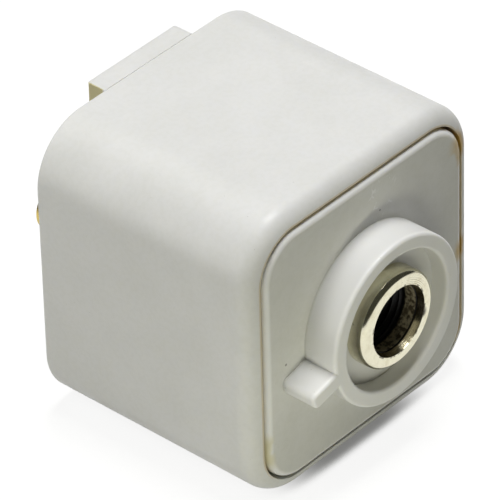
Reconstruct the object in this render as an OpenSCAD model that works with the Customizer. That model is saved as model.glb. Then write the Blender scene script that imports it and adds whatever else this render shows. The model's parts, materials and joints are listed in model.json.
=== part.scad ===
// Track light adapter for a single-circuit lighting track, lying on its side.
// The adapter axis is Y: the threaded stem port opens towards -Y, the track side is +Y.
// The origin is the centre of the stem port's mouth.

/* [Housing] */
// Width and height of the square sliding housing
body_w = 40; // [39:0.5:44]
// Depth of the housing from its front rim to its track face
body_d = 33.2; // [32:0.2:37]
// Radius of the housing's four long corners
corner_r = 8; // [7.5:0.25:9]
// Thickness of the housing's side walls
wall = 2; // [1.6:0.1:2.2]
// Rounding of the front rim
rim_r = 2.4; // [1.6:0.1:3]
// Rounding of the edge around the track face
track_edge_r = 0.5; // [0.3:0.1:1]
// Thickness of the wall behind the track face
back_wall = 2.6; // [2.4:0.1:3.2]
// How far the housing can be pulled away from the track
travel = 3.2; // [3:0.1:4]

/* [Slot lugs] */
// Width of the two lugs that drop into the track's slot
lug_w = 15.4; // [12:0.2:16]
// Height of the lugs over the track face
lug_rise = 2.7; // [2:0.1:2.8]
// Thickness of the lugs
lug_t = 4; // [3:0.1:5]
// Small step between the housing's side and the lug's outer face
lug_step = 0.2; // [0.1:0.05:0.5]
// Rounding of the lugs' two outer corners
lug_corner_r = 0.3; // [0.2:0.1:1.2]

/* [Front cover] */
// Sliding gap between the cover and the housing, each side
cover_gap = 0.4; // [0.3:0.05:0.6]
// How far the cover's face stands in front of the housing's rim
cover_proud = 0.4; // [0.2:0.1:1]
// Thickness of the cover's plate
plate_t = 2.4; // [2:0.1:3]
// Rounding of the plate's front edge
plate_edge_r = 0.8; // [0.5:0.1:1.2]
// Thickness of the skirt behind the plate
skirt_t = 1.5; // [1.2:0.1:1.8]
// Height of the skirt behind the plate
skirt_h = 7; // [6.5:0.1:8]
// Radius of the four screw bosses
boss_r = 3; // [2.8:0.1:3.2]
// Distance from a boss's middle to the cover's edges
boss_inset = 4.7; // [4.4:0.1:5.1]

/* [Collar] */
// Outer radius of the collar
collar_r = 11.1; // [10.6:0.1:11.5]
// Wall thickness of the collar's rim
collar_wall = 2; // [1.6:0.1:2.2]
// Height of the collar over the plate
collar_h = 4.9; // [4.7:0.1:6]
// Rounding of the collar's edges
collar_edge_r = 0.4; // [0.2:0.1:0.7]
// Depth of the ring-shaped recess inside the collar
recess_d = 2.5; // [2.2:0.1:2.8]
// Thickness of the recess floor that carries the bushing
floor_t = 2; // [1.6:0.1:2]
// Wall left around the pocket behind the recess floor
pocket_wall = 1.5; // [1.2:0.1:1.5]
// Width of the turning stop on the collar
tab_w = 2.1; // [2:0.1:3]
// Outer radius of the turning stop
tab_r = 15.4; // [14:0.1:15.8]
// Angle of the turning stop, seen from the front and counted from +X
tab_angle = 193; // [0:1:359]
// Rounding of the stop's front edges
tab_edge_r = 0.35; // [0.2:0.05:0.4]
// Rounding of the two corners at the stop's end
tab_end_r = 0.8; // [0.7:0.1:0.9]

/* [Stem bushing] */
// Radius of the threaded stem port, at the thread's crests
stem_bore_r = 4.4; // [4.2:0.05:4.5]
// Outer radius of the bushing's head
bushing_r = 6.4; // [6.2:0.05:6.6]
// Outer radius of the bushing's shank
shank_r = 5.5; // [5.4:0.05:5.6]
// Whole length of the bushing
bushing_l = 11.5; // [11:0.1:12]
// How far the bushing's face stands in front of the collar
bushing_proud = 0.1; // [0.05:0.05:0.3]
// Rounding of the head's outer edge
bushing_edge_r = 0.5; // [0.2:0.05:0.6]
// Running clearance around the shank
swivel_clear = 0.1; // [0.05:0.01:0.1]
// Clearance between faces that turn or slide on each other
face_clear = 0.05; // [0.03:0.01:0.1]
// Thickness of the conical friction spring's sheet
disc_t = 0.5; // [0.4:0.1:0.6]
// Rise of the conical friction spring
disc_rise = 0.4; // [0.3:0.1:0.5]
// Outer radius of the friction spring and of the washer
washer_r = 8; // [7.6:0.1:8.2]
// Thickness of the washer
washer_t = 0.8; // [0.6:0.1:1]
// Distance across the nut's flats
nut_flats = 14; // [13.5:0.1:14.2]
// Thickness of the nut
nut_t = 3; // [2.5:0.1:3.2]

/* [Earth bracket] */
// Thickness of the bracket's sheet
strap_t = 0.6; // [0.5:0.1:0.8]
// Width of the bracket's two legs
strap_w = 5; // [4:0.1:6]
// Distance from the axis to a leg's inner face
leg_place = 8.5; // [8.4:0.05:8.6]
// Distance from the axis to the end of a foot
foot_end = 4.3; // [4.1:0.05:4.3]
// Inner radius of the bends in the bracket and in the contacts
bend_r = 0.2; // [0.1:0.05:0.2]

/* [Contact block] */
// Thickness of the block's base
base_t = 2.6; // [2.2:0.1:3]
// Gap between the base and the housing, each side
base_gap = 0.8; // [0.6:0.1:1.2]
// Radius of the round foot that carries the spring
foot_r = 10.4; // [10.2:0.05:10.5]
// Height of the round foot
foot_h = 3.8; // [3.4:0.1:4.2]
// Radius of the post that guides the spring
post_r = 8.4; // [8.3:0.05:8.5]
// Radius of the four wire holes
wire_hole_r = 1.8; // [1.5:0.1:1.8]
// Distance from a wire hole's middle to the base's edge
wire_hole_inset = 3.7; // [3.4:0.1:4]
// Distance from a wire hole to the middle plane between two of them
wire_hole_place = 5; // [4.6:0.1:5.6]
// Wall of the two bosses that the terminal screws are driven into
terminal_boss_wall = 1; // [0.8:0.1:1.4]
// Height of the terminal screws' bosses
terminal_boss_h = 2.4; // [2:0.1:3]

/* [Key] */
// Radius of the neck that turns in the track's slot
neck_r = 7.6; // [7.4:0.05:7.7]
// Sliding gap between the neck and the housing
neck_gap = 0.4; // [0.3:0.05:0.5]
// Radius of the flange that stops the housing
flange_r = 9.5; // [9.2:0.1:10]
// Thickness of the flange
flange_t = 1.2; // [1:0.1:1.4]
// Height between the track face and the lock plate, for the track's lips
lip_space = 3.4; // [3.2:0.1:4]
// Thickness of the lock plate
lock_t = 1.4; // [1.2:0.1:1.6]
// Reach of the lock plate's two wings from the axis
wing_reach = 10.8; // [10:0.1:11]
// Width of the wings
wing_w = 9; // [8.6:0.1:10]
// Rounding of the wings' corners
wing_corner_r = 2.5; // [2:0.1:3]
// Thickness of the cap
cap_t = 1.5; // [1.4:0.1:1.6]
// Half width of the cap between its two flats
cap_half = 6.4; // [6.2:0.1:6.6]
// Chamfer of the cap's edge
cap_edge = 0.4; // [0.2:0.1:0.6]

/* [Contacts] */
// Height of the contact blades over the track face
contact_rise = 7.5; // [7.2:0.1:9]
// Thickness of the contact strip
contact_t = 0.8; // [0.6:0.1:0.9]
// Width of the contact strip
contact_w = 4; // [3.6:0.1:4.2]
// Reach of a blade's tip from the axis
contact_reach = 11.8; // [11.2:0.1:12]
// Radius of a blade's round tip
blade_tip_r = 3.4; // [3:0.1:3.6]
// Distance from the axis to a tail's inner face
tail_place = 4.2; // [4.1:0.05:4.4]
// Insulating wall around a tail where it passes the lock plate
spigot_wall = 0.8; // [0.7:0.1:0.9]
// Clearance around sheet parts in their slots
slot_clear = 0.1; // [0.05:0.01:0.15]
// Radius of a terminal pad
pad_r = 2.7; // [2.6:0.1:2.8]
// Distance from the axis to a terminal screw
terminal_place = 13.2; // [13.1:0.05:13.4]
// Side of the square terminal clamp
clamp_w = 5.4; // [5:0.1:5.4]
// Thickness of the terminal clamp
clamp_t = 0.8; // [0.6:0.1:1]
// Rounding of the terminal clamp's corners
clamp_corner_r = 0.6; // [0.3:0.1:1]

/* [Screws] */
// Radius of the key screws
key_screw_r = 1.2; // [1.1:0.05:1.2]
// Head radius of the key screws
key_head_r = 1.9; // [1.8:0.1:2]
// Distance from a key screw's middle to the neck's side
key_screw_inset = 2.2; // [2.1:0.05:2.3]
// Radius of the terminal screws
terminal_screw_r = 1.4; // [1.3:0.05:1.4]
// Head radius of the terminal screws
terminal_head_r = 2.6; // [2.4:0.1:2.6]
// Radius of the block screws
block_screw_r = 1.2; // [1.1:0.05:1.3]
// Head radius of the block screws
block_head_r = 2.3; // [2:0.1:2.4]
// Height of the pan heads
head_h = 1.7; // [1.4:0.1:1.8]
// Length of the block screws under the head
block_screw_l = 7.5; // [6:0.1:8.5]
// Clearance of a screw in the hole it is driven into
thread_clear = 0.02; // [0.01:0.01:0.04]
// Clearance of a screw in the holes it passes through
pass_clear = 0.1; // [0.05:0.01:0.15]

/* [Return spring] */
// Radius of the spring's wire
wire_r = 0.5; // [0.4:0.05:0.5]
// Radius of the coil, measured to the wire's centre
coil_r = 9.3; // [9.25:0.05:9.4]
// Number of turns
coil_turns = 5.5; // [4:0.5:6.5]
// Turns laid flat at each end
end_turns = 0.75; // [0.5:0.25:1]
// Thickness of the spring's seat
seat_t = 0.5; // [0.4:0.1:0.8]
// Step between the seat's edge and the foot's edge
seat_step = 0.2; // [0.1:0.05:0.3]

/* [Hidden] */
$fn = 96;
eps = 0.01;
side_x = [-1, 1];
corners = [for (x = side_x, z = side_x) [x, z]];

// Proportions of the screws, as shares of the head's or the shank's size
recess_long = 1.3;
recess_wide = 0.25;
recess_deep = 0.6;
flush_recess_deep = 0.8;
crown_share = 0.45;
tip_share = 0.3;

// Sides of the spring's wire and steps of each turn
coil_sides = 10;
coil_steps = 26;

// Levels along the axis, from the stem port's mouth towards the track
collar_at = bushing_proud;
floor_at = collar_at + recess_d;
floor_back = floor_at + floor_t;
plate_at = collar_at + collar_h;
plate_back = plate_at + plate_t;
rim_at = plate_at + cover_proud;
track_at = rim_at + body_d;
wall_at = track_at - back_wall;
ring_top = floor_back + strap_t;
disc_at = ring_top + face_clear;
washer_at = disc_at + disc_t + disc_rise + face_clear;
nut_at = washer_at + washer_t;
block_at = plate_back + skirt_h;
block_top = block_at + base_t;
foot_top = block_top + foot_h;
seat_top = foot_top + seat_t;
shoulder_at = wall_at - travel - face_clear;
flange_at = track_at - flange_t;
neck_top = track_at + lip_space;
lock_top = neck_top + lock_t;
contact_at = track_at + contact_rise;
turret_top = contact_at + contact_t;
cap_top = turret_top + cap_t;
clamp_at = block_top + contact_t;
terminal_head_at = clamp_at + clamp_t;

// Sizes that follow from the driving dimensions
inner_w = body_w - 2 * wall;
inner_r = corner_r - wall;
cover_w = inner_w - 2 * cover_gap;
cover_r = inner_r - cover_gap;
base_w = inner_w - 2 * base_gap;
base_r = inner_r - base_gap;
collar_in_r = collar_r - collar_wall;
pocket_r = collar_r - pocket_wall;
floor_hole_r = shank_r + swivel_clear;
leg_out = leg_place + strap_t;
ring_hole_r = floor_hole_r;
foot_at = block_at - strap_t;
neck_hole_r = neck_r + neck_gap;
slot_t = contact_t + 2 * slot_clear;
slot_w = contact_w + 2 * slot_clear;
tail_mid = tail_place + contact_t / 2;
spigot_x = slot_t + 2 * spigot_wall;
spigot_z = slot_w + 2 * spigot_wall;
boss_pilot_r = block_screw_r + thread_clear;
terminal_pilot_r = terminal_screw_r + thread_clear;
terminal_boss_r = terminal_screw_r + terminal_boss_wall;
terminal_boss_at = block_at - terminal_boss_h;
boss_place = cover_w / 2 - boss_inset;
wire_hole_out = base_w / 2 - wire_hole_inset;
key_screw_place = neck_r - key_screw_inset;
key_pilot_r = key_screw_r + thread_clear;
key_pass_r = key_screw_r + pass_clear;
key_head_h = key_head_r - key_screw_r;
coil_from = seat_top + wire_r + face_clear;
coil_rise = wall_at - seat_top - 2 * wire_r - 2 * face_clear;
end_rise = 2 * wire_r * end_turns;
mid_turns = coil_turns - 2 * end_turns;
mid_pitch = (coil_rise - 2 * end_rise) / mid_turns;

// Everything is drawn along +Z and then laid along the adapter axis, which is +Y
module on_axis() {
    rotate([-90, 0, 0]) children();
}

// Lifts a shape to a level on the axis
module at(level) {
    translate([0, 0, level]) children();
}

// Square with round corners
module round_square(w, r) {
    square([w, w - 2 * r], center = true);
    square([w - 2 * r, w], center = true);
    for (c = corners) translate((w / 2 - r) * c) circle(r);
}

// Side view of a block with rounded front and back edges
module edge_profile(w, h, front_r, back_r) {
    translate([-w / 2, front_r]) square([w, h - front_r - back_r]);
    translate([front_r - w / 2, 0]) square([w - 2 * front_r, h]);
    translate([back_r - w / 2, front_r]) square([w - 2 * back_r, h - front_r]);
    for (s = side_x) translate([s * (w / 2 - front_r), front_r]) circle(front_r);
    for (s = side_x) translate([s * (w / 2 - back_r), h - back_r]) circle(back_r);
}

// Half of that side view, to be turned about the axis
module post_profile(r, h, front_r, back_r) {
    translate([0, front_r]) square([r, h - front_r - back_r]);
    square([r - front_r, h]);
    translate([0, front_r]) square([r - back_r, h - front_r]);
    translate([r - front_r, front_r]) circle(front_r);
    translate([r - back_r, h - back_r]) circle(back_r);
}

// Square block with round corners and rounded front and back edges
module soft_block(w, r, h, front_r, back_r) {
    straight = w - 2 * r;
    for (turn = [0, 90])
        rotate([90, 0, turn])
            translate([0, 0, -straight / 2])
                linear_extrude(straight) edge_profile(w, h, front_r, back_r);
    for (c = corners)
        translate((w / 2 - r) * c)
            rotate_extrude() post_profile(r, h, front_r, back_r);
}

// Square block with round corners and sharp edges
module plain_block(w, r, h) {
    linear_extrude(h) round_square(w, r);
}

// Ring with rounded front edges
module soft_ring(r_out, r_in, h, edge_r) {
    rotate_extrude() {
        translate([r_in, edge_r]) square([r_out - r_in, h - edge_r]);
        translate([r_in + edge_r, 0]) square([r_out - r_in - 2 * edge_r, edge_r + eps]);
        translate([r_in + edge_r, edge_r]) circle(edge_r);
        translate([r_out - edge_r, edge_r]) circle(edge_r);
    }
}

// Plain ring
module ring(r_out, r_in, h) {
    difference() {
        cylinder(r = r_out, h = h);
        at(-eps) cylinder(r = r_in, h = h + 2 * eps);
    }
}

// Bend of a sheet, seen from its edge: the outer corner lies at zero and the sheet runs on along +X and +Y
module bend(t) {
    out_r = bend_r + t;
    translate([out_r, out_r]) intersection() {
        difference() {
            circle(out_r);
            circle(bend_r);
        }
        translate([-out_r, -out_r]) square(out_r);
    }
}

// Cross recess for a screwdriver
module cross_recess(r, depth) {
    for (turn = [0, 90])
        rotate([0, 0, turn]) at(-depth / 2)
            cube([recess_long * r, recess_wide * r, depth + eps], center = true);
}

// Pan-head screw: head above zero, shank below
module pan_screw(shank_radius, head_radius, head, shank_l) {
    tip = shank_radius;
    crown = crown_share * head;
    difference() {
        union() {
            rotate_extrude() {
                square([head_radius, head - crown]);
                square([head_radius - crown, head]);
                translate([head_radius - crown, head - crown]) circle(crown);
            }
            at(tip - shank_l) cylinder(r = shank_radius, h = shank_l - tip + eps);
            at(-shank_l) cylinder(r1 = tip_share * shank_radius, r2 = shank_radius, h = tip);
        }
        at(head) cross_recess(head_radius, recess_deep * head);
    }
}

// Both key screws' holes, from the bracket's feet to the cap
module key_holes(r) {
    for (s = side_x)
        translate([0, s * key_screw_place, foot_at - eps]) cylinder(r = r, h = cap_top - foot_at + 2 * eps);
}

// Slots for both contact tails, from one level to another
module tail_slots(from, to) {
    for (s = side_x)
        translate([s * tail_mid, 0, (from + to) / 2])
            cube([slot_t, slot_w, to - from + 2 * eps], center = true);
}

// Sliding housing with its two slot lugs
module housing_lug() {
    translate([0, body_w / 2 - lug_step - lug_t, track_at - eps])
        rotate([90, 0, 0]) mirror([0, 0, 1]) linear_extrude(lug_t) {
            translate([-lug_w / 2, 0]) square([lug_w, lug_rise + eps - lug_corner_r]);
            translate([lug_corner_r - lug_w / 2, 0])
                square([lug_w - 2 * lug_corner_r, lug_rise + eps]);
            for (s = side_x)
                translate([s * (lug_w / 2 - lug_corner_r), lug_rise + eps - lug_corner_r])
                    circle(lug_corner_r);
        }
}

module housing() {
    color("#f1f0ea") on_axis() {
        difference() {
            at(rim_at) soft_block(body_w, corner_r, body_d, rim_r, track_edge_r);
            at(rim_at - eps) plain_block(inner_w, inner_r, wall_at - rim_at + eps);
            at(wall_at - eps) cylinder(r = neck_hole_r, h = back_wall + 2 * eps);
            at(flange_at - face_clear)
                cylinder(r = flange_r + neck_gap, h = flange_t + face_clear + eps);
        }
        for (turn = [0, 180]) rotate([0, 0, turn]) housing_lug();
    }
}

// Front cover: plate, skirt, collar, turning stop and screw bosses in one moulding
module turning_stop() {
    from = collar_r - collar_wall / 2;
    end_at = tab_r - tab_end_r;
    h = collar_h + eps;
    flat_w = tab_w - 2 * tab_end_r;
    at(collar_at) {
        translate([from, 0, 0]) rotate([90, 0, 90]) linear_extrude(end_at - from) {
            translate([-tab_w / 2, tab_edge_r]) square([tab_w, h - tab_edge_r]);
            translate([tab_edge_r - tab_w / 2, 0]) square([tab_w - 2 * tab_edge_r, h]);
            for (s = side_x) translate([s * (tab_w / 2 - tab_edge_r), tab_edge_r]) circle(tab_edge_r);
        }
        translate([0, flat_w / 2, 0]) rotate([90, 0, 0]) linear_extrude(flat_w) {
            translate([from, tab_edge_r]) square([tab_r - from, h - tab_edge_r]);
            translate([from, 0]) square([tab_r - tab_edge_r - from, h]);
            translate([tab_r - tab_edge_r, tab_edge_r]) circle(tab_edge_r);
        }
        for (s = side_x) translate([end_at, s * flat_w / 2, 0]) rotate_extrude() {
            translate([0, tab_edge_r]) square([tab_end_r, h - tab_edge_r]);
            square([tab_end_r - tab_edge_r, h]);
            translate([tab_end_r - tab_edge_r, tab_edge_r]) circle(tab_edge_r);
        }
    }
}

module front_cover() {
    color("#eeede6") on_axis() difference() {
        union() {
            at(plate_at) soft_block(cover_w, cover_r, plate_t, plate_edge_r, eps);
            at(plate_back - eps) difference() {
                plain_block(cover_w, cover_r, skirt_h + eps);
                at(-eps) plain_block(cover_w - 2 * skirt_t, cover_r - skirt_t, skirt_h + 3 * eps);
            }
            at(collar_at) soft_ring(collar_r, collar_in_r, collar_h + eps, collar_edge_r);
            at(floor_at) cylinder(r = collar_in_r + eps, h = floor_t);
            rotate([0, 0, -tab_angle]) turning_stop();
            for (c = corners)
                translate(boss_place * c) at(plate_back - eps) cylinder(r = boss_r, h = skirt_h + eps);
        }
        at(floor_back) cylinder(r = pocket_r, h = plate_back);
        at(floor_at - eps) cylinder(r = floor_hole_r, h = floor_t + 2 * eps);
        for (c = corners)
            translate(boss_place * c) at(plate_back) cylinder(r = boss_pilot_r, h = skirt_h + eps);
    }
}

// Threaded stem bushing, turned from brass and plated
module stem_bushing() {
    head_l = floor_at - face_clear;
    color("#c9c4b4") on_axis() difference() {
        union() {
            rotate_extrude() {
                translate([0, bushing_edge_r]) square([bushing_r, head_l - bushing_edge_r]);
                square([bushing_r - bushing_edge_r, head_l]);
                translate([bushing_r - bushing_edge_r, bushing_edge_r]) circle(bushing_edge_r);
            }
            at(head_l - eps) cylinder(r = shank_r, h = bushing_l - head_l + eps);
        }
        at(-eps) cylinder(r = stem_bore_r, h = bushing_l + 2 * eps);
    }
}

// Conical spring that gives the swivelling stem its friction
module friction_spring() {
    color("#8d9094") on_axis() at(disc_at) rotate_extrude()
        polygon([[floor_hole_r, disc_rise], [washer_r, 0],
                 [washer_r, disc_t], [floor_hole_r, disc_rise + disc_t]]);
}

module bushing_washer() {
    color("#b9bcc0") on_axis() at(washer_at) ring(washer_r, shank_r + thread_clear, washer_t);
}

module bushing_nut() {
    nut_r = nut_flats / 2 / cos(30);
    bevel = nut_r - nut_flats / 2;
    color("#b9bcc0") on_axis() at(nut_at) difference() {
        intersection() {
            cylinder(r = nut_r, h = nut_t, $fn = 6);
            rotate_extrude()
                polygon([[0, 0], [nut_r, 0], [nut_r, nut_t - bevel / 2],
                         [nut_flats / 2, nut_t], [0, nut_t]]);
        }
        at(-eps) cylinder(r = shank_r + thread_clear, h = nut_t + 2 * eps);
    }
}

// Earth bracket: a ring around the stem and two legs that the key screws thread into
module bracket_leg() {
    out_r = bend_r + strap_t;
    ring_in = ring_hole_r + strap_t;
    rotate([90, 0, 90]) linear_extrude(strap_w, center = true) {
        translate([ring_in, floor_back]) square([leg_out - out_r - ring_in, strap_t]);
        translate([leg_out, floor_back]) mirror([1, 0]) bend(strap_t);
        translate([leg_place, floor_back + out_r]) square([strap_t, block_at - floor_back - 2 * out_r]);
        translate([leg_out, block_at]) rotate(180) bend(strap_t);
        translate([foot_end, foot_at]) square([leg_out - out_r - foot_end, strap_t]);
    }
}

module earth_bracket() {
    color("#c8b878") on_axis() difference() {
        union() {
            at(floor_back) cylinder(r = washer_r, h = strap_t);
            for (turn = [0, 180]) rotate([0, 0, turn]) bracket_leg();
        }
        at(floor_back - eps) cylinder(r = ring_hole_r, h = strap_t + 2 * eps);
        key_holes(key_pilot_r);
    }
}

// Insulating contact block: base, spring foot and guide post
module contact_block() {
    color("#e6e4da") on_axis() difference() {
        union() {
            at(block_at) plain_block(base_w, base_r, base_t);
            at(block_top - eps) cylinder(r = foot_r, h = foot_h + eps);
            at(foot_top - eps) cylinder(r = post_r, h = shoulder_at - foot_top + eps);
            at(shoulder_at - eps) cylinder(r = neck_r, h = flange_at - shoulder_at + eps);
            for (s = side_x)
                translate([s * terminal_place, 0, terminal_boss_at])
                    cylinder(r = terminal_boss_r, h = block_at - terminal_boss_at + eps);
        }
        key_holes(key_pass_r);
        tail_slots(block_top, flange_at);
        for (s = side_x)
            translate([s * (tail_place + foot_r) / 2, 0, block_top + slot_t / 2])
                cube([foot_r - tail_place + 2 * slot_clear, slot_w, slot_t], center = true);
        for (s = side_x)
            translate([s * terminal_place, 0, terminal_boss_at - eps])
                cylinder(r = terminal_pilot_r, h = block_top - terminal_boss_at + 2 * eps);
        for (c = corners) {
            translate(boss_place * c) at(block_at - eps)
                cylinder(r = block_screw_r + pass_clear, h = base_t + 2 * eps);
            translate([wire_hole_place * c.x, wire_hole_out * c.y, block_at - eps])
                cylinder(r = wire_hole_r, h = base_t + 2 * eps);
        }
    }
}

// Contact: blade with a broad round tip, tail through the key, and terminal pad
module contact(side) {
    out_r = bend_r + contact_t;
    blade_from = neck_r + slot_clear;
    flat_from = tail_place + out_r;
    turn = side > 0 ? 0 : 180;
    color("#b5a25a") on_axis() rotate([0, 0, turn]) difference() {
        union() {
            rotate([90, 0, 0]) linear_extrude(contact_w, center = true) {
                translate([flat_from, block_top]) square([terminal_place - flat_from, contact_t]);
                translate([tail_place, block_top]) bend(contact_t);
                translate([tail_place, block_top + out_r])
                    square([contact_t, turret_top - block_top - 2 * out_r]);
                translate([tail_place, turret_top]) mirror([0, 1]) bend(contact_t);
                translate([flat_from, contact_at]) square([contact_reach - contact_w / 2 - flat_from, contact_t]);
            }
            at(contact_at) linear_extrude(contact_t) intersection() {
                translate([contact_reach - blade_tip_r, 0]) circle(blade_tip_r);
                translate([blade_from, -blade_tip_r]) square([contact_reach - blade_from, 2 * blade_tip_r]);
            }
            translate([terminal_place, 0, block_top]) cylinder(r = pad_r, h = contact_t);
        }
        translate([terminal_place, 0, block_top - eps])
            cylinder(r = terminal_screw_r + pass_clear, h = contact_t + 2 * eps);
    }
}

module line_contact() {
    contact(-1);
}

module neutral_contact() {
    contact(1);
}

module terminal_clamps() {
    color("#a9adb2") on_axis() for (s = side_x)
        translate([s * terminal_place, 0, clamp_at]) difference() {
            linear_extrude(clamp_t) round_square(clamp_w, clamp_corner_r);
            at(-eps) cylinder(r = terminal_screw_r + pass_clear, h = clamp_t + 2 * eps);
        }
}

module terminal_screws() {
    color("#c4b26c") on_axis() for (s = side_x)
        translate([s * terminal_place, 0, terminal_head_at])
            pan_screw(terminal_screw_r, terminal_head_r, head_h,
                      terminal_head_at - terminal_boss_at);
}

module block_screws() {
    color("#b4b7bb") on_axis() for (c = corners)
        translate(boss_place * c) at(block_top)
            pan_screw(block_screw_r, block_head_r, head_h, block_screw_l);
}

// Neck that turns in the track's slot, with the flange that stops the housing
module key_neck() {
    color("#e6e4da") on_axis() difference() {
        union() {
            at(flange_at) cylinder(r = flange_r, h = flange_t);
            at(flange_at) cylinder(r = neck_r, h = neck_top - flange_at);
        }
        key_holes(key_pass_r);
        tail_slots(flange_at, neck_top);
    }
}

// Steel plate whose two wings rest on the track's lips
module lock_plate() {
    color("#b4b7bb") on_axis() difference() {
        at(neck_top) linear_extrude(lock_t) {
            circle(neck_r);
            square([2 * wing_reach, wing_w - 2 * wing_corner_r], center = true);
            square([2 * (wing_reach - wing_corner_r), wing_w], center = true);
            for (c = corners)
                translate([c.x * (wing_reach - wing_corner_r), c.y * (wing_w / 2 - wing_corner_r)])
                    circle(wing_corner_r);
        }
        key_holes(key_pass_r);
        for (s = side_x)
            translate([s * tail_mid, 0, neck_top + lock_t / 2])
                cube([spigot_x + 2 * slot_clear, spigot_z + 2 * slot_clear, lock_t + 2 * eps],
                     center = true);
    }
}

// Insulating turret that carries the blades
module key_turret() {
    color("#e6e4da") on_axis() difference() {
        union() {
            at(lock_top) cylinder(r = neck_r, h = turret_top - lock_top);
            for (s = side_x)
                translate([s * tail_mid - spigot_x / 2, -spigot_z / 2, neck_top])
                    cube([spigot_x, spigot_z, lock_t + eps]);
        }
        key_holes(key_pass_r);
        tail_slots(neck_top, turret_top);
        for (s = side_x)
            translate([s * (tail_place - slot_clear + neck_r) / 2, 0, turret_top - slot_t / 2 + eps])
                cube([neck_r - tail_place + slot_clear, slot_w, slot_t], center = true);
    }
}

// Cap that holds the blades down, with two flats
module key_cap() {
    color("#e6e4da") on_axis() difference() {
        intersection() {
            at(turret_top) rotate_extrude()
                polygon([[0, 0], [neck_r, 0], [neck_r, cap_t - cap_edge],
                         [neck_r - cap_edge, cap_t], [0, cap_t]]);
            at(turret_top) translate([-cap_half, -neck_r, 0])
                cube([2 * cap_half, 2 * neck_r, cap_t]);
        }
        key_holes(key_pass_r);
        for (s = side_x)
            translate([0, s * key_screw_place, cap_top - key_head_h - pass_clear])
                cylinder(r1 = key_screw_r + pass_clear, r2 = key_head_r + 2 * pass_clear,
                         h = key_head_h + pass_clear + eps);
    }
}

// Two long countersunk screws that hold the key's stack together
module key_screws() {
    color("#b4b7bb") on_axis() for (s = side_x)
        translate([0, s * key_screw_place, 0]) difference() {
            union() {
                at(foot_at) cylinder(r = key_screw_r, h = cap_top - foot_at - key_head_h / 2);
                at(cap_top - key_head_h)
                    cylinder(r1 = key_screw_r, r2 = key_head_r, h = key_head_h);
            }
            at(cap_top) cross_recess(key_head_r, flush_recess_deep * key_head_h);
        }
}

// Steel washer under the return spring
module spring_seat() {
    color("#9ea1a6") on_axis() at(foot_top) ring(foot_r - seat_step, post_r + pass_clear, seat_t);
}

// Return spring: a round wire swept along a helix with flat end turns
function coil_height(t) =
    t < end_turns ? 2 * wire_r * t :
    t > coil_turns - end_turns ? coil_rise - 2 * wire_r * (coil_turns - t) :
    end_rise + mid_pitch * (t - end_turns);

function coil_point(t, a) =
    let (out = coil_r + wire_r * cos(a))
    [out * cos(360 * t), out * sin(360 * t), coil_from + coil_height(t) + wire_r * sin(a)];

module return_spring() {
    rings = floor(coil_turns * coil_steps);
    points = [for (i = [0 : rings], k = [0 : coil_sides - 1])
        coil_point(i * coil_turns / rings, k * 360 / coil_sides)];
    sides = [for (i = [0 : rings - 1], k = [0 : coil_sides - 1])
        let (n = (k + 1) % coil_sides)
        [i * coil_sides + k, i * coil_sides + n, (i + 1) * coil_sides + n, (i + 1) * coil_sides + k]];
    first = [for (k = [coil_sides - 1 : -1 : 0]) k];
    last = [for (k = [0 : coil_sides - 1]) rings * coil_sides + k];
    color("#8d9094") on_axis() polyhedron(points, concat(sides, [first, last]), convexity = 12);
}

housing();
front_cover();
stem_bushing();
friction_spring();
bushing_washer();
bushing_nut();
earth_bracket();
contact_block();
line_contact();
neutral_contact();
terminal_clamps();
terminal_screws();
block_screws();
key_neck();
lock_plate();
key_turret();
key_cap();
key_screws();
spring_seat();
return_spring();
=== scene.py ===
import bpy
import bmesh
import json
import math
from mathutils import Matrix, Vector


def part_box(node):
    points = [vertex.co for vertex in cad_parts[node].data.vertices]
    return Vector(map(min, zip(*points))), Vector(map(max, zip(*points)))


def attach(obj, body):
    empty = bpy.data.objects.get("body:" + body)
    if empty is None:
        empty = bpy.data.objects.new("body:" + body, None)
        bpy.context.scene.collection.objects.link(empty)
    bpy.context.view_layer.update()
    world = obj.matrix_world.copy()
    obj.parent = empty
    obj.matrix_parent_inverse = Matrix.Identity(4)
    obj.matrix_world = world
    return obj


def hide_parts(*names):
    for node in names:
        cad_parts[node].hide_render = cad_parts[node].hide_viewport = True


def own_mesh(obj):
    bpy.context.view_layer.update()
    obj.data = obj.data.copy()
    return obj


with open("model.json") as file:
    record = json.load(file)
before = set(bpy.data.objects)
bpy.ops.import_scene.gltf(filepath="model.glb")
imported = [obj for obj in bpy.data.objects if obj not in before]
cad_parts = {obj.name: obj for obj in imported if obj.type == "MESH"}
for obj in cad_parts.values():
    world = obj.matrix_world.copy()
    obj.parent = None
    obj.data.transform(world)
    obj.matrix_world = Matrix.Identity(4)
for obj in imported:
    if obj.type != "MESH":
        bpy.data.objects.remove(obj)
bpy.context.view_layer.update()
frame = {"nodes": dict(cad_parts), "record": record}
nodes = frame["nodes"]
mm = 0.001
print("frame loaded:", len(nodes), "nodes")


# camera: fitted to the edges of the photograph, a long lens from the upper left
cameraLook = {
    "azimuth": -47.78,      # degrees, 0 looks along +Y
    "elevation": 36.66,
    "roll": -1.57,
    "distance": 666.7,      # mm, from the middle of the housing's front rim
    "aimRight": -13.33,     # mm, picture centre against the rim's middle
    "aimUp": 6.26,
    "rimPlace": 5.4,        # mm, the rim plane on the Y axis
    "near": 10,             # mm, nothing closer is drawn
    "lens": 409.5,
    "sensor": 36,
}


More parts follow.
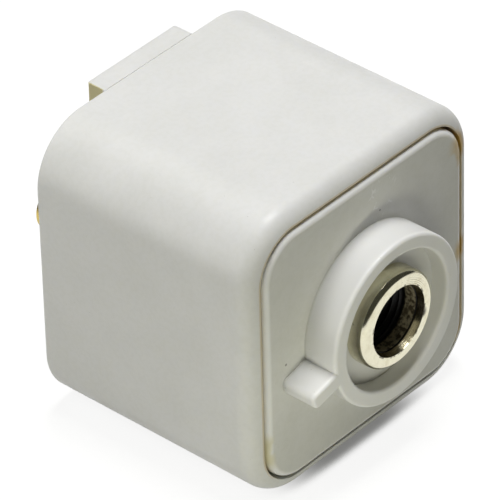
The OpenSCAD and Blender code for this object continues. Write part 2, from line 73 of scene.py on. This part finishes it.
def makeCamera(look):
    azimuth, elevation, roll = (math.radians(look[key]) for key in ("azimuth", "elevation", "roll"))
    back = Vector((math.sin(azimuth) * math.cos(elevation),
                   -math.cos(azimuth) * math.cos(elevation),
                   math.sin(elevation)))
    right = Vector((math.cos(azimuth), math.sin(azimuth), 0))
    up = back.cross(right)
    turnedRight = right * math.cos(roll) + up * math.sin(roll)
    turnedUp = up * math.cos(roll) - right * math.sin(roll)
    place = (turnedRight * look["aimRight"] + turnedUp * look["aimUp"]
             + back * look["distance"] + Vector((0, look["rimPlace"], 0))) * mm
    camera = bpy.data.objects.new("camera", bpy.data.cameras.new("camera"))
    camera.data.lens = look["lens"]
    camera.data.sensor_width = look["sensor"]
    camera.data.clip_start = look["near"] * mm
    camera.matrix_world = Matrix.Translation(place) @ Matrix(
        (turnedRight, turnedUp, back)).transposed().to_4x4()
    bpy.context.scene.collection.objects.link(camera)
    bpy.context.scene.camera = camera


makeCamera(cameraLook)
print("camera placed")


# small helpers for node materials, all places in mm of the part's own frame
class Shader:
    def __init__(self, name):
        self.material = bpy.data.materials.new(name)
        self.material.use_nodes = True
        self.tree = self.material.node_tree
        self.surface = self.tree.nodes["Principled BSDF"]

    def add(self, kind, sockets, settings=None):
        node = self.tree.nodes.new(kind)
        for key, value in (settings or {}).items():
            setattr(node, key, value)
        for key, value in sockets.items():
            self.feed(node.inputs[key], value)
        return node

    def feed(self, socket, value):      # another node's output is linked, a plain value goes on the socket
        if isinstance(value, bpy.types.NodeSocket):
            self.tree.links.new(value, socket)
        else:
            socket.default_value = value

    def set(self, **values):        # the surface's own sockets, with _ for the blank in a name
        for key, value in values.items():
            self.feed(self.surface.inputs[key.replace("_", " ")], value)

    def math(self, operation, first, second=0.0):
        return self.add("ShaderNodeMath", {0: first, 1: second}, {"operation": operation}).outputs[0]

    def plus(self, first, second):
        return self.math("ADD", first, second)

    def minus(self, first, second):
        return self.math("SUBTRACT", first, second)

    def times(self, first, *others):
        for other in others:
            first = self.math("MULTIPLY", first, other)
        return first

    def size(self, value):
        return self.math("ABSOLUTE", value)

    def ramp(self, value, low, high, toLow=0.0, toHigh=1.0):
        sockets = {0: value, 1: low, 2: high, 3: toLow, 4: toHigh}
        return self.add("ShaderNodeMapRange", sockets, {"interpolation_type": "SMOOTHSTEP"}).outputs[0]

    def mix(self, amount, first, second):       # 6 and 7 are the mix node's colours, 2 is its result
        sockets = {0: amount, 6: first, 7: second}
        return self.add("ShaderNodeMix", sockets, {"data_type": "RGBA"}).outputs[2]

    def place(self):
        local = self.add("ShaderNodeTexCoord", {}).outputs["Object"]
        sockets = {0: local, "Scale": 1 / mm}
        return self.add("ShaderNodeVectorMath", sockets, {"operation": "SCALE"}).outputs[0]

    def axes(self, place):
        return self.add("ShaderNodeSeparateXYZ", {0: place}).outputs

    def stretch(self, place, sizes, turn=(0, 0, 0)):
        return self.add("ShaderNodeMapping", {"Vector": place, "Rotation": turn, "Scale": sizes}).outputs[0]

    def noise(self, place, scale, detail=3.0, rough=0.5):
        sockets = {"Vector": place, "Scale": scale, "Detail": detail, "Roughness": rough}
        return self.add("ShaderNodeTexNoise", sockets).outputs[0]

    def patches(self, place, scale, band, share=1.0, detail=3.0, rough=0.5):        # noise cut by a band
        return self.times(self.ramp(self.noise(place, scale, detail, rough), *band), share)

    def spot(self, place, middle, radius, soft):        # 1 inside a ball, 0 outside
        ends = {0: place, 1: middle}
        gap = self.add("ShaderNodeVectorMath", ends, {"operation": "DISTANCE"}).outputs["Value"]
        return self.ramp(gap, radius, radius * (1 - soft))

    def squareEdge(self, axes, half, corner):       # distance outside a round-cornered square about Y
        flat = [self.minus(self.size(axes[i]), half - corner) for i in (0, 2)]
        squares = [self.math("POWER", self.math("MAXIMUM", value, 0.0), 2.0) for value in flat]
        around = self.math("SQRT", self.plus(*squares))
        inside = self.math("MINIMUM", self.math("MAXIMUM", *flat), 0.0)
        return self.minus(self.plus(around, inside), corner)

    def radius(self, axes):     # distance from the Y axis
        squares = [self.times(axes[i], axes[i]) for i in (0, 2)]
        return self.math("SQRT", self.plus(*squares))

    def bump(self, height, strength, distance):
        node = self.add("ShaderNodeBump", {"Height": height, "Strength": strength, "Distance": distance * mm})
        self.set(Normal=node.outputs[0])


def rgb(red, green, blue):      # screen values to the linear ones that sockets take
    shares = [value / 255 for value in (red, green, blue)]
    return tuple(v / 12.92 if v <= 0.04045 else ((v + 0.055) / 1.055) ** 2.4 for v in shares) + (1.0,)


# skin of the moulded plastics: satin, a little translucent, with clouds, hairline scuffs and dust
skinLook = {
    "clouds": {"scale": 0.12, "band": (0.35, 0.7), "share": 0.5},
    "mottle": {"scale": 1.5, "band": (0.42, 0.62), "share": 0.3},
    "streaks": {"scale": 2.2, "band": (0.66, 0.74), "detail": 4.0, "rough": 0.6},
    "streakStretch": (0.25, 2.2, 3.6),
    "streakTurn": (0.3, 0.5, 0.7),
    "scuffed": {"scale": 0.3, "band": (0.5, 0.68)},     # the streaks show in these patches alone
    "scuffColour": rgb(246, 246, 243),
    "scuffShare": 0.35,
    "scuffRough": 0.15,
    "dust": {"scale": 3.4, "band": (0.795, 0.82), "share": 0.5, "detail": 1.0},
    "dustColour": rgb(150, 147, 136),
    "sheen": {"scale": 0.35, "detail": 4.0},            # how the roughness changes from place to place
    "sheenBand": (0.3, 0.7),
    "smoother": 0.05,
    "rougher": 0.06,
    "grain": {"scale": 9.0, "detail": 2.0},
    "grainShare": 0.25,
    "waves": {"scale": 0.5, "detail": 1.0},
    "bumpStrength": 0.25,
    "bumpDepth": 0.05,
    "ior": 1.5,
    "glow": (1.0, 0.95, 0.8),       # red light goes furthest through the skin, blue the least
}

# painted warm shade on the walls of the gap round the front plate and in patches beside it, and a painted
# highlight on the plate's edge
gapLook = {
    "paintedEdgeHighlightBand": (-0.9, -0.4),       # painted highlight on the plate's edge, across the gap's line
    "paintedEdgeHighlightDepth": (6.0, 5.7),
    "wallBand": (0.3, 0.08),        # painted shade lies this close to the gap's line
    "wallEnd": (17.0, 16.0),        # goes this deep
    "wallLow": (-17.2, -14.0),      # and leaves out the lower run
    "wallShare": 0.85,
    "blots": {"scale": 0.45, "detail": 4.0},        # make the painted shade patches uneven
    "blotBand": (0.3, 0.65),
    "blotReach": (0.5, 1.5),
    "shadeTintSoft": 0.7,
    "shadeTintFade": (1.0, 0.1),
}

plasticLook = {
    "housing": {
        "colour": rgb(238, 238, 236),
        "cloud": rgb(231, 231, 227),
        "roughness": 0.46,
        "through": 0.35,        # share of light that goes through the skin
        "depth": 0.7,           # mm that it travels there
        "opening": (18.0, 6.0),     # half width and corner of the opening in front
        # painted shade: warm tint on the walls of the gap
        "gapShadeTint": rgb(210, 190, 146),
        "gapShadeTintBand": (5.25, 5.55),      # starts this deep
        "shadeTints": (         # painted warm shade beside the gap: middle, radius, reach from the gap, colour
            ((17.9, 5.6, 13.4), 2.8, 0.9, rgb(198, 162, 84)),
            ((18.0, 5.6, -1.8), 2.0, 0.9, rgb(198, 162, 84)),
        ),
        "shadedLugEnd": {           # end face of the upper lug, which lies past these on X, Y and Z: painted shade, a darker yellow
            "left": (-7.5, -7.65),
            "back": (38.7, 39.0),
            "low": (0.0, 1.0),
            "share": 0.9,
            "colour": rgb(206, 196, 142),
        },
    },
    "cover": {
        "colour": rgb(227, 227, 222),
        "cloud": rgb(219, 219, 212),
        "paintedLightRaised": rgb(235, 235, 233),       # collar and stop: painted light, lighter than the plate
        "paintedLightRaisedBand": (4.9, 4.6),
        "paintedLightFront": rgb(250, 250, 247),       # their front faces: painted light, lighter still
        "paintedLightFrontBand": (0.9, 0.3),
        "roughness": 0.4,
        "through": 0.35,
        "depth": 0.7,
        "opening": (17.6, 5.6),         # the plate's own outline
        # painted shade: warm tint on the walls of the gap
        "gapShadeTint": rgb(206, 184, 138),
        "gapShadeTintBand": (5.6, 5.9),
        "paintedEdgeHighlight": rgb(252, 252, 249),     # painted highlight on the plate's rounded edge
        # painted warm shade beside the gap
        "shadeTints": (
            ((17.5, 5.2, 13.0), 3.2, 2.2, rgb(206, 176, 98)),
            ((17.6, 5.2, -1.8), 2.2, 2.2, rgb(206, 176, 98)),
            ((-17.4, 5.3, -11.8), 3.4, 0.9, rgb(226, 221, 190)),
        ),
        "specks": (         # middle, radius
            ((-14.36, 5.0, -0.35), 0.22),
            ((2.64, 5.0, 12.28), 0.17),
            ((-9.0, 0.1, -1.2), 0.2),
        ),
        "speckSoft": 0.5,
        "speckShare": 0.7,
        "speckColour": rgb(92, 84, 70),
        "scratched": {          # light scratches between collar and upper edge
            "area": ((2.4, 5.0, 14.6), 4.2, 0.4),
            "bend": 0.5,
            "net": 0.55,
            "width": (0.07, 0.02),
            "broken": {"scale": 0.9, "band": (0.5, 0.62)},
            "share": 0.9,
            "colour": rgb(248, 248, 246),
        },
    },
    "insulator": {
        "colour": rgb(228, 225, 213),
        "cloud": rgb(219, 215, 200),
        "roughness": 0.46,
        "through": 0.6,
        "depth": 1.5,
    },
}


# painted light: collar and stop lighter than the plate, their front faces lighter still
def paintLightOnRaisedParts(shader, axes, colour, look):
    colour = shader.mix(shader.ramp(axes[1], *look["paintedLightRaisedBand"]), colour, look["paintedLightRaised"])
    return shader.mix(shader.ramp(axes[1], *look["paintedLightFrontBand"]), colour, look["paintedLightFront"])


def paintGapShadeAndHighlight(shader, place, axes, colour, look):
    edge = shader.squareEdge(axes, *look["opening"])
    # painted highlight: a lighter colour on the plate's rounded edge
    if "paintedEdgeHighlight" in look:
        paintedEdgeHighlight = shader.times(shader.ramp(edge, *gapLook["paintedEdgeHighlightBand"]),
                            shader.ramp(axes[1], *gapLook["paintedEdgeHighlightDepth"]))
        colour = shader.mix(paintedEdgeHighlight, colour, look["paintedEdgeHighlight"])
    edge = shader.size(edge)
    # painted shade: a warm tint on the gap's walls
    walls = shader.times(shader.ramp(edge, *gapLook["wallBand"]),
                         shader.ramp(axes[1], *gapLook["wallEnd"]),
                         shader.ramp(axes[2], *gapLook["wallLow"]),
                         shader.ramp(axes[1], *look["gapShadeTintBand"]), gapLook["wallShare"])
    colour = shader.mix(walls, colour, look["gapShadeTint"])
    # painted shade: warm patches beside the gap
    blots = shader.ramp(shader.noise(place, **gapLook["blots"]), *gapLook["blotBand"], *gapLook["blotReach"])
    for middle, radius, reach, shadeTint in look["shadeTints"]:
        away = shader.math("DIVIDE", edge, shader.times(blots, reach))
        shadeTinted = shader.times(shader.spot(place, middle, radius, gapLook["shadeTintSoft"]),
                               shader.ramp(away, *gapLook["shadeTintFade"]))
        colour = shader.mix(shadeTinted, colour, shadeTint)
    return colour


# painted shade: a darker yellow on the upper lug's end face
def paintShadeOnLugEnd(shader, axes, colour, look):
    sides = [shader.ramp(axes[i], *look[key]) for i, key in enumerate(("left", "back", "low"))]
    return shader.mix(shader.times(*sides, look["share"]), colour, look["colour"])


def lightScratches(shader, place, colour, look):
    bend = shader.add("ShaderNodeTexNoise", {"Vector": place, "Scale": look["bend"]}).outputs["Color"]
    bent = shader.add("ShaderNodeVectorMath", {0: place, 1: bend}, {"operation": "ADD"}).outputs[0]
    net = shader.add("ShaderNodeTexVoronoi", {"Vector": bent, "Scale": look["net"]},
                     {"feature": "DISTANCE_TO_EDGE"}).outputs["Distance"]
    lines = shader.times(shader.ramp(net, *look["width"]), shader.patches(place, **look["broken"]),
                         shader.spot(place, *look["area"]), look["share"])
    return shader.mix(lines, colour, look["colour"])


def mouldedPlastic(name, look):
    shader = Shader(name)
    place = shader.place()
    axes = shader.axes(place)
    cloudy = shader.plus(shader.patches(place, **skinLook["clouds"]),
                         shader.patches(place, **skinLook["mottle"]))
    colour = shader.mix(cloudy, look["colour"], look["cloud"])
    if "paintedLightRaised" in look:
        colour = paintLightOnRaisedParts(shader, axes, colour, look)

    # hairline scuffs, a little lighter and rougher than the skin, then dust: tiny grey specks, far apart
    combed = shader.stretch(place, skinLook["streakStretch"], skinLook["streakTurn"])
    scuffs = shader.times(shader.patches(combed, **skinLook["streaks"]),
                          shader.patches(place, **skinLook["scuffed"]))
    colour = shader.mix(shader.times(scuffs, skinLook["scuffShare"]), colour, skinLook["scuffColour"])
    colour = shader.mix(shader.patches(place, **skinLook["dust"]), colour, skinLook["dustColour"])

    if "opening" in look:
        colour = paintGapShadeAndHighlight(shader, place, axes, colour, look)
    for middle, radius in look.get("specks", ()):
        speck = shader.times(shader.spot(place, middle, radius, look["speckSoft"]), look["speckShare"])
        colour = shader.mix(speck, colour, look["speckColour"])
    # painted shade on the upper lug's end face
    if "shadedLugEnd" in look:
        colour = paintShadeOnLugEnd(shader, axes, colour, look["shadedLugEnd"])
    if "scratched" in look:
        colour = lightScratches(shader, place, colour, look["scratched"])

    rough = shader.ramp(shader.noise(place, **skinLook["sheen"]), *skinLook["sheenBand"],
                        look["roughness"] - skinLook["smoother"], look["roughness"] + skinLook["rougher"])
    rough = shader.plus(rough, shader.times(scuffs, skinLook["scuffRough"]))
    shader.set(Base_Color=colour, Roughness=rough, IOR=skinLook["ior"])
    shader.set(Subsurface_Weight=look["through"], Subsurface_Radius=skinLook["glow"],
               Subsurface_Scale=look["depth"] * mm)
    grain = shader.times(shader.noise(place, **skinLook["grain"]), skinLook["grainShare"])
    grain = shader.plus(grain, shader.noise(place, **skinLook["waves"]))
    shader.bump(grain, skinLook["bumpStrength"], skinLook["bumpDepth"])
    return shader.material


# metals: plating, sheet brass, zinc and spring wire
metalLook = {
    "plated": {"colour": rgb(224, 220, 196), "dull": rgb(212, 206, 178),
               "roughness": 0.16, "marks": "turned"},
    "sheet": {"colour": rgb(206, 184, 108), "dull": rgb(184, 160, 90),
              "roughness": 0.26, "marks": "rolled"},
    "screw": {"colour": rgb(216, 192, 116), "dull": rgb(178, 150, 84),
              "roughness": 0.28, "marks": "rolled"},
    "zinc": {"colour": rgb(196, 199, 203), "dull": rgb(158, 160, 162),
             "roughness": 0.34, "marks": "spangled"},
    "wire": {"colour": rgb(158, 160, 165), "dull": rgb(112, 113, 117),
             "roughness": 0.3, "marks": "rolled"},
}

# painted shade and dark reflection on the tip of the seen blade
metalLook["sheet"]["scorched"] = {
    "area": ((-11.1, 46.5, 2.3), 2.0, 0.4),
    "share": 0.9,
    "colour": rgb(46, 38, 24),
}

# face and bore of the bushing, depths along Y: a lip with a painted dark reflection, a groove painted near
# black as painted shade, a dull land, then the thread painted near black as painted shade
metalLook["plated"]["bore"] = {
    "wall": (5.2, 5.1),             # radius inside which the bore's finishes lie
    "arcs": ((3.2, 0.0, 4.4), 2.8, 0.7),        # dark turning marks on the face
    "arcBand": (0.5, 0.6),
    "arcShare": 0.8,
    "arcColour": rgb(96, 88, 66),
    "scuff": ((4.33, 0.4, -1.24), 1.0, 0.6),    # black mark on the lip
    "scuffBand": (0.35, 0.5),
    "scuffColour": rgb(26, 22, 17),
    "mouth": 4.72,                  # radius of the chipped edge round the mouth
    "mouthBand": (0.16, 0.05),
    "chips": {"scale": 1.1, "band": (0.5, 0.58), "share": 0.8, "detail": 4.0},
    "chipColour": rgb(58, 50, 36),
    "lip": (0.03, 0.13),
    "lipDarkReflectionShare": 0.4,
    "lipDarkReflection": rgb(122, 108, 82),
    "land": (0.95, 1.05),
    "landColour": rgb(196, 186, 158),
    "landSpots": {"scale": 1.8, "band": (0.4, 0.62), "detail": 4.0},
    "landDirt": rgb(98, 88, 68),
    "landRough": 0.3,
    "landMatt": 0.6,                # takes this much off the metal's mirror
    "groove": 1.0,
    "grooveBand": (0.2, 0.08),
    "grooveShade": rgb(24, 20, 15),
    "thread": (2.5, 2.9),
    "threadShade": rgb(13, 12, 11),
}

marksLook = {
    "turned": {"stretch": (9.0, 5.0, 1.0), "scale": 1.0, "rough": 0.7, "depth": 0.012},     # lathe rings
    "rolled": {"stretch": (0.4, 6.0, 6.0), "scale": 1.6, "rough": 0.6, "depth": 0.01},
    "spangled": {"scale": 1.3, "share": 0.6, "depth": 0.008},
}

wearLook = {
    "tarnish": {"scale": 0.7, "band": (0.42, 0.72), "detail": 5.0, "rough": 0.6},
    "nicks": {"scale": 2.4, "band": (0.72, 0.78), "detail": 2.0},
    "nickColour": rgb(84, 76, 58),
    "nickShare": 0.45,
    "nickRough": 0.2,
    "lineBand": (0.25, 0.75),
    "smoother": 0.05,
    "rougher": 0.08,
    "bumpStrength": 0.3,
}


def metalMarks(shader, place, axes, kind):
    look = marksLook[kind]
    if kind == "spangled":
        cells = shader.add("ShaderNodeTexVoronoi", {"Vector": place, "Scale": look["scale"]})
        return shader.times(cells.outputs["Distance"], look["share"])
    if kind == "turned":
        place = shader.add("ShaderNodeCombineXYZ", {0: shader.radius(axes), 1: axes[1]}).outputs[0]
    return shader.noise(shader.stretch(place, look["stretch"]), look["scale"], rough=look["rough"])


def stemBore(shader, place, axes, lines, colour, rough, look):
    radius = shader.radius(axes)
    arcs = shader.times(shader.ramp(lines, *look["arcBand"]),
                        shader.spot(place, *look["arcs"]), look["arcShare"])
    colour = shader.mix(arcs, colour, look["arcColour"])
    scuff = shader.times(shader.spot(place, *look["scuff"]), shader.ramp(lines, *look["scuffBand"]))
    colour = shader.mix(scuff, colour, look["scuffColour"])
    mouth = shader.ramp(shader.size(shader.minus(radius, look["mouth"])), *look["mouthBand"])
    chips = shader.times(mouth, shader.patches(place, **look["chips"]))
    colour = shader.mix(chips, colour, look["chipColour"])

    bore = shader.ramp(radius, *look["wall"])
    lip, land, thread = (shader.times(bore, shader.ramp(axes[1], *look[key]))
                         for key in ("lip", "land", "thread"))
    # painted reflection: the lip darkened
    colour = shader.mix(shader.times(lip, look["lipDarkReflectionShare"]), colour, look["lipDarkReflection"])
    spotted = shader.mix(shader.patches(place, **look["landSpots"]), look["landColour"], look["landDirt"])
    colour = shader.mix(land, colour, spotted)
    # painted shade: the groove and the thread near black
    groove = shader.size(shader.minus(axes[1], look["groove"]))
    groove = shader.times(bore, shader.ramp(groove, *look["grooveBand"]))
    colour = shader.mix(groove, colour, look["grooveShade"])
    colour = shader.mix(thread, colour, look["threadShade"])
    shader.set(Metallic=shader.minus(1.0, shader.times(land, look["landMatt"])))
    return colour, shader.plus(rough, shader.times(land, look["landRough"]))


def bareMetal(name, look):
    shader = Shader(name)
    place = shader.place()
    axes = shader.axes(place)
    lines = metalMarks(shader, place, axes, look["marks"])
    nicks = shader.patches(place, **wearLook["nicks"])
    colour = shader.mix(shader.patches(place, **wearLook["tarnish"]), look["colour"], look["dull"])
    colour = shader.mix(shader.times(nicks, wearLook["nickShare"]), colour, wearLook["nickColour"])
    rough = shader.ramp(lines, *wearLook["lineBand"],
                        look["roughness"] - wearLook["smoother"], look["roughness"] + wearLook["rougher"])
    rough = shader.plus(rough, shader.times(nicks, wearLook["nickRough"]))
    shader.set(Metallic=1.0)
    # painted shade and dark reflection on the blade's tip
    if "scorched" in look:
        mark = look["scorched"]
        darkTip = shader.times(shader.spot(place, *mark["area"]), mark["share"])
        colour = shader.mix(darkTip, colour, mark["colour"])
    if "bore" in look:
        colour, rough = stemBore(shader, place, axes, lines, colour, rough, look["bore"])
    shader.set(Base_Color=colour, Roughness=rough)
    shader.bump(lines, wearLook["bumpStrength"], marksLook[look["marks"]]["depth"])
    return shader.material


finishes = {
    "housing_plastic": mouldedPlastic("housingPlastic", plasticLook["housing"]),
    "cover_plastic": mouldedPlastic("coverPlastic", plasticLook["cover"]),
    "insulator_plastic": mouldedPlastic("insulatorPlastic", plasticLook["insulator"]),
    "plated_brass": bareMetal("platedBrass", metalLook["plated"]),
    "contact_brass": bareMetal("sheetBrass", metalLook["sheet"]),
    "screw_brass": bareMetal("screwBrass", metalLook["screw"]),
    "zinc_steel": bareMetal("zincSteel", metalLook["zinc"]),
    "spring_steel": bareMetal("springWire", metalLook["wire"]),
}
for part in frame["record"]["subparts"]:
    solid = nodes[part["node"]]
    solid.data.materials.clear()
    solid.data.materials.append(finishes[part["material_slot"]])
print("finishes set")


smoothAngle = 28        # degrees, edges that bend more stay sharp


def addPiece(mesh, name, node, body, slot):
    data = bpy.data.meshes.new(name)
    mesh.to_mesh(data)
    mesh.free()
    data.materials.append(finishes[slot])
    piece = bpy.data.objects.new(name, data)
    bpy.context.scene.collection.objects.link(piece)
    with bpy.context.temp_override(object=piece, active_object=piece, selected_objects=[piece],
                                   selected_editable_objects=[piece]):
        bpy.ops.object.shade_smooth_by_angle(angle=math.radians(smoothAngle))
    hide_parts(node)
    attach(piece, body)
    return piece


# stem bushing: a turned piece with a conical lip, a groove, a dull land and the stem's thread
bushingLook = {
    "headRadius": 6.4,
    "headLength": 2.55,
    "edge": 0.9,            # rounding of the head's outer edge
    "edgeSteps": 8,
    "shankRadius": 5.5,
    "length": 11.5,
    "endChamfer": 0.3,
    "bore": 4.4,
    "mouth": 0.26,          # the lip narrows by this much
    "lip": 0.9,             # depth of the lip
    "faceInner": 0.5,       # rings that keep the face flat: this far outside the bore
    "faceOuter": 0.25,      # and this far inside the rounding
    "grooveDepth": 0.16,
    "grooveWidth": 0.2,
    "land": 2.7,            # where the land ends and the thread starts
    "pitch": 0.94,
    "threadDepth": 0.5,
    "sides": 128,
    "stepsPerTurn": 8,
    "spareTurns": 3,        # the thread is drawn past both its ends and held there
    "weld": 0.0002,         # closer points become one
    "sliver": 0.0001,       # shorter edges go
}


def bushingOutside(look):       # radius and depth, from the mouth round the face and the head to the far end
    bore, head, edge = look["bore"], look["headRadius"], look["edge"]
    turns = [math.pi / 2 * i / look["edgeSteps"] for i in range(look["edgeSteps"] + 1)]
    face = (bore + look["mouth"], bore + look["faceInner"], head - edge - look["faceOuter"])
    path = [(radius, 0.0) for radius in face]
    path += [(head - edge + edge * math.sin(turn), edge - edge * math.cos(turn)) for turn in turns]
    path += [(radius, look["headLength"]) for radius in (head, look["shankRadius"])]
    path += [(look["shankRadius"], look["length"] - look["endChamfer"])]
    path += [(radius, look["length"]) for radius in (look["shankRadius"] - look["endChamfer"], bore)]
    return path


def bushingMouth(look):         # radius and depth, from the mouth to the start of the thread
    bore, lip = look["bore"], look["lip"]
    return [(bore + look["mouth"], 0.0), (bore, lip),
            (bore + look["grooveDepth"], lip + look["grooveWidth"] / 2),
            (bore, lip + look["grooveWidth"]), (bore, look["land"])]


def makeBushing(look):
    mesh = bmesh.new()
    sides, steps, pitch = look["sides"], look["stepsPerTurn"], look["pitch"]
    angles = [2 * math.pi * i / sides for i in range(sides)]

    def pointAt(radius, place, angle):
        return mesh.verts.new((radius * math.cos(angle) * mm, place * mm, radius * math.sin(angle) * mm))

    for path in (bushingOutside(look), bushingMouth(look)):
        rows = [[pointAt(*point, angle) for angle in angles] for point in path]
        for first, second in zip(rows, rows[1:]):
            for i in range(sides):
                j = (i + 1) % sides
                mesh.faces.new((first[i], first[j], second[j], second[i]))

    # thread: rows that climb by one pitch in a turn, held between its two ends
    start, end = look["land"], look["length"]
    count = int((end - start) / pitch + look["spareTurns"]) * steps
    grid = []
    for i, angle in enumerate(angles):
        column = []
        for k in range(count + 1):
            place = start + pitch * ((k - steps) / steps + i / sides)
            depth = look["threadDepth"] * (1 - abs(2 * ((k % steps) / steps) - 1))
            run = min(place - start, end - place)
            depth *= min(max(run / pitch, 0.0), 1.0)       # runs in and out over one turn
            column.append(pointAt(look["bore"] + depth, min(max(place, start), end), angle))
        grid.append(column)
    for i in range(sides):
        for k in range(count):
            if i + 1 < sides:
                corners = (grid[i][k], grid[i + 1][k], grid[i + 1][k + 1], grid[i][k + 1])
            elif k + steps + 1 <= count:        # the last column meets the first, one turn on
                corners = (grid[i][k], grid[0][k + steps], grid[0][k + steps + 1], grid[i][k + 1])
            else:
                continue
            mesh.faces.new(corners)
    bmesh.ops.remove_doubles(mesh, verts=mesh.verts, dist=look["weld"] * mm)
    bmesh.ops.dissolve_degenerate(mesh, edges=mesh.edges, dist=look["sliver"] * mm)
    bmesh.ops.recalc_face_normals(mesh, faces=mesh.faces)
    return addPiece(mesh, "stemBushing", "stem_bushing", "stem", "plated_brass")


stemBushing = makeBushing(bushingLook)
print("bushing turned:", len(stemBushing.data.polygons), "faces")


# return spring: a smooth round wire, wound at one length over the part's box and carried by the core
springLook = {
    "wire": 0.5,            # radius of the wire
    "coil": 9.3,            # radius to the wire's middle
    "turns": 5.5,
    "flatTurns": 0.75,      # laid close at each end
    "wireSides": 16,
    "stepsPerTurn": 64,
}


def makeSpring(look):
    low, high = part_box("return_spring")
    wire, turns, flat = look["wire"], look["turns"], look["flatTurns"]
    length = (high.y - low.y) / mm
    rise = length - 2 * wire
    flatRise = 2 * wire * flat
    pitch = (rise - 2 * flatRise) / (turns - 2 * flat)

    def heightAt(turn):
        if turn < flat:
            return 2 * wire * turn
        if turn > turns - flat:
            return rise - 2 * wire * (turns - turn)
        return flatRise + pitch * (turn - flat)

    mesh = bmesh.new()
    sides = look["wireSides"]
    count = round(turns * look["stepsPerTurn"])
    rings = []
    for i in range(count + 1):
        turn = turns * i / count
        angle = 2 * math.pi * turn
        ring = []
        for k in range(sides):
            around = 2 * math.pi * k / sides
            radius = look["coil"] + wire * math.cos(around)
            place = low.y / mm + wire + heightAt(turn) + wire * math.sin(around)
            point = Vector((radius * math.cos(angle), place, -radius * math.sin(angle)))
            ring.append(mesh.verts.new(point * mm))
        rings.append(ring)
    for first, second in zip(rings, rings[1:]):
        for k in range(sides):
            j = (k + 1) % sides
            mesh.faces.new((first[k], first[j], second[j], second[k]))
    mesh.faces.new(rings[0])
    mesh.faces.new(rings[-1])
    bmesh.ops.recalc_face_normals(mesh, faces=mesh.faces)
    spring = addPiece(mesh, "returnSpring", "return_spring", "core", "spring_steel")

    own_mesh(spring)
    return spring


returnSpring = makeSpring(springLook)
print("spring wound:", len(returnSpring.data.polygons), "faces")


# floor and light: a large lamp above, a fill at the left, two low strips before the front corner
# and a small lamp for the glint on the bushing, with places and sizes in m
stageLook = {
    "floorSize": 6,
    "floorColour": rgb(120, 120, 118),
    "floorCloud": rgb(126, 126, 124),
    "cloudScale": 0.004,
    "floorRough": 0.9,
    "lift": 0.88,               # brings the floor to white where the camera or a reflection sees it
    "shadowLift": 0.2,          # share of the lift that the contact shadow keeps
    "contact": 3,               # mm, reach of the contact shadow
    "contactSamples": 16,
    "contactBand": (0.8, 0.35),     # how open the floor is where the shadow starts and where it is full
    "contactMiddle": -1.0,          # mm, on X
    "contactSpan": (18.0, 3.0),     # mm from there, where it ends and where it is full
    "worldColour": (1.0, 1.0, 0.84, 1),
    "worldStrength": 0.05,
    "aim": (0, 0.02, 0),
    "lamps": {          # the two low strips don't mirror in the metal
        "top": {"place": (0.10, 0.05, 0.72), "size": (0.30, 0.30), "watts": 4.5, "colour": (1, 1, 1)},
        "side": {"place": (-0.22, 0.10, 0.035), "size": (0.14, 0.14), "watts": 0.188, "colour": (1, 1, 0.95)},
        "low": {"place": (-0.05, -0.035, -0.015), "size": (0.03, 0.008), "watts": 0.0042,
                "colour": (1, 1, 0.84), "mirrored": False},
        "front": {"place": (-0.037, -0.066, -0.015), "size": (0.05, 0.008), "watts": 0.0134,
                  "colour": (1, 1, 0.83), "mirrored": False},
        "glint": {"place": (-0.20, 0.0, 0.62), "size": (0.09, 0.09), "watts": 0.07, "colour": (1, 1, 1)},
    },
}


def floorPaper(look):
    shader = Shader("floorPaper")
    place = shader.place()
    cloud = shader.noise(place, look["cloudScale"])
    shader.set(Base_Color=shader.mix(cloud, look["floorColour"], look["floorCloud"]))
    shader.set(Roughness=look["floorRough"])
    path = shader.add("ShaderNodeLightPath", {}).outputs
    seen = shader.math("MAXIMUM", path["Is Camera Ray"], path["Is Glossy Ray"])
    seen = shader.math("MAXIMUM", seen, path["Is Transmission Ray"])
    # the lift fades where the floor lies close to the housing, most in the middle: the contact shadow
    shut = shader.add("ShaderNodeAmbientOcclusion", {"Distance": look["contact"] * mm},
                      {"samples": look["contactSamples"]}).outputs["AO"]
    aside = shader.size(shader.minus(shader.axes(place)[0], look["contactMiddle"]))
    shade = shader.times(shader.ramp(shut, *look["contactBand"]), shader.ramp(aside, *look["contactSpan"]))
    lift = shader.ramp(shade, 0.0, 1.0, look["lift"], look["shadowLift"] * look["lift"])
    shader.set(Emission_Color=(1, 1, 1, 1), Emission_Strength=shader.times(seen, lift))
    return shader.material


def makeStage(look):
    bpy.ops.mesh.primitive_plane_add(size=look["floorSize"], location=(0, 0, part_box("housing")[0].z))
    floor = bpy.context.object
    floor.name = "floor"
    floor.data.materials.append(floorPaper(look))

    world = bpy.data.worlds.new("studio")
    world.use_nodes = True
    background = world.node_tree.nodes["Background"]
    background.inputs["Color"].default_value = look["worldColour"]
    background.inputs["Strength"].default_value = look["worldStrength"]
    bpy.context.scene.world = world
    for name, lampLook in look["lamps"].items():
        lamp = bpy.data.objects.new(name, bpy.data.lights.new(name, "AREA"))
        lamp.data.shape = "RECTANGLE"
        lamp.data.size, lamp.data.size_y = lampLook["size"]
        lamp.data.energy = lampLook["watts"]
        lamp.data.color = lampLook["colour"]
        lamp.location = lampLook["place"]
        lamp.visible_camera = False
        lamp.visible_glossy = lampLook.get("mirrored", True)
        lamp.rotation_euler = (Vector(look["aim"]) - lamp.location).to_track_quat("-Z", "Y").to_euler()
        bpy.context.scene.collection.objects.link(lamp)
    bpy.context.scene.view_settings.view_transform = "Standard"


makeStage(stageLook)
print("stage set")
